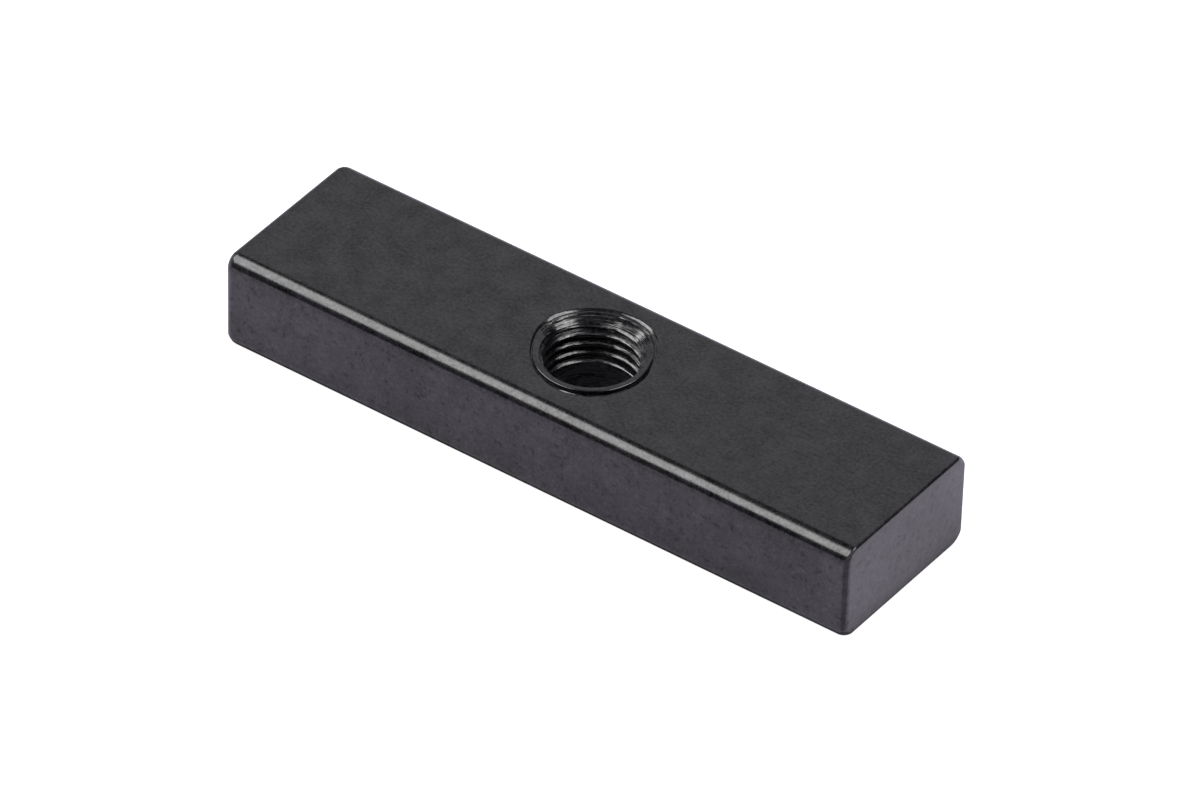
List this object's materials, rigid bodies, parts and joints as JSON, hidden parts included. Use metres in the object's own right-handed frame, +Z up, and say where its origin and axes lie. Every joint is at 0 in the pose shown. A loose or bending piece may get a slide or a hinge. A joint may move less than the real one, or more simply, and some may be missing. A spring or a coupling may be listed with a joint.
{
  "type": "t-slot nut",
  "caption": "Blackened steel bar with one tapped hole at its centre: slides in the undercut of a T-slot and anchors a clamping bolt or stud.",
  "frame": {"origin": "centre of the bottom face, on the axis of the tapped hole", "axes": "+X along the bar and the slot, +Y across the slot, +Z up along the tapped hole, out of its mouth"},
  "size_m": [0.082, 0.0216, 0.0123],
  "materials": {
    "blackened_steel": "black oxide, semi-matt"
  },
  "bodies": {
    "root": {"nut": "blackened_steel"}
  },
  "joints": []
}
